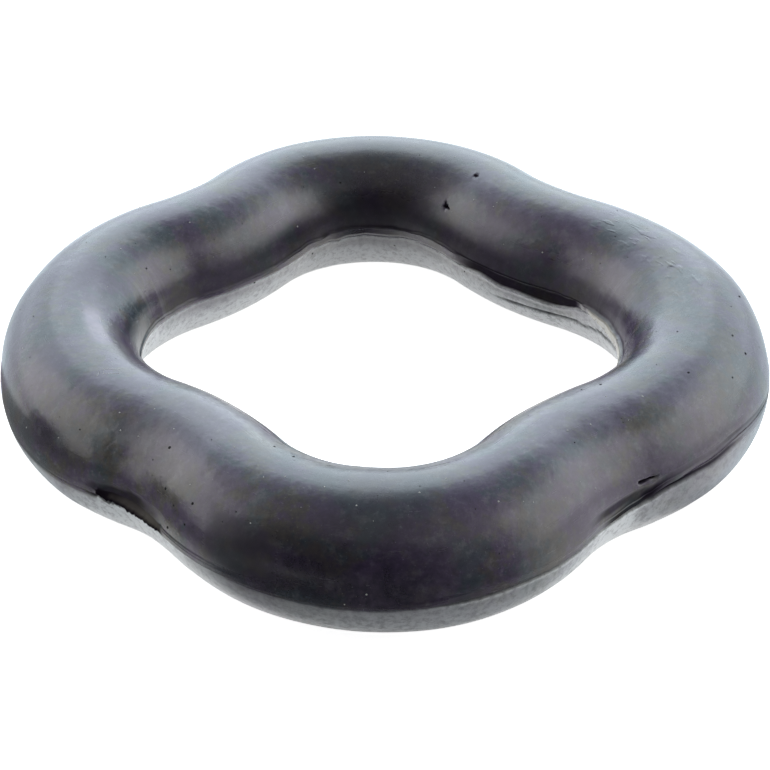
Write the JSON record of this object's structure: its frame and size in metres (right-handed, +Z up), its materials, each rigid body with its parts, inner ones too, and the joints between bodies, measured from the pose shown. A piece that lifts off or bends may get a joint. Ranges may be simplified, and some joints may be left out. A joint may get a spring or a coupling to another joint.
{
  "type": "exhaust hanger",
  "caption": "One-piece moulded rubber ring of round section, with lobes that hook over the rods of a car's bracket and its exhaust pipe.",
  "frame": {"origin": "middle of the ring's outer box, at the level of its underside", "axes": "+Z up out of the flat-lying ring, +X towards the right lobe, -Y towards the front lobe"},
  "size_m": [0.0692, 0.0678, 0.013],
  "materials": {
    "rubber": "satin moulded black rubber with a faint grey bloom"
  },
  "bodies": {
    "root": {"hanger_ring": "rubber"}
  },
  "joints": []
}
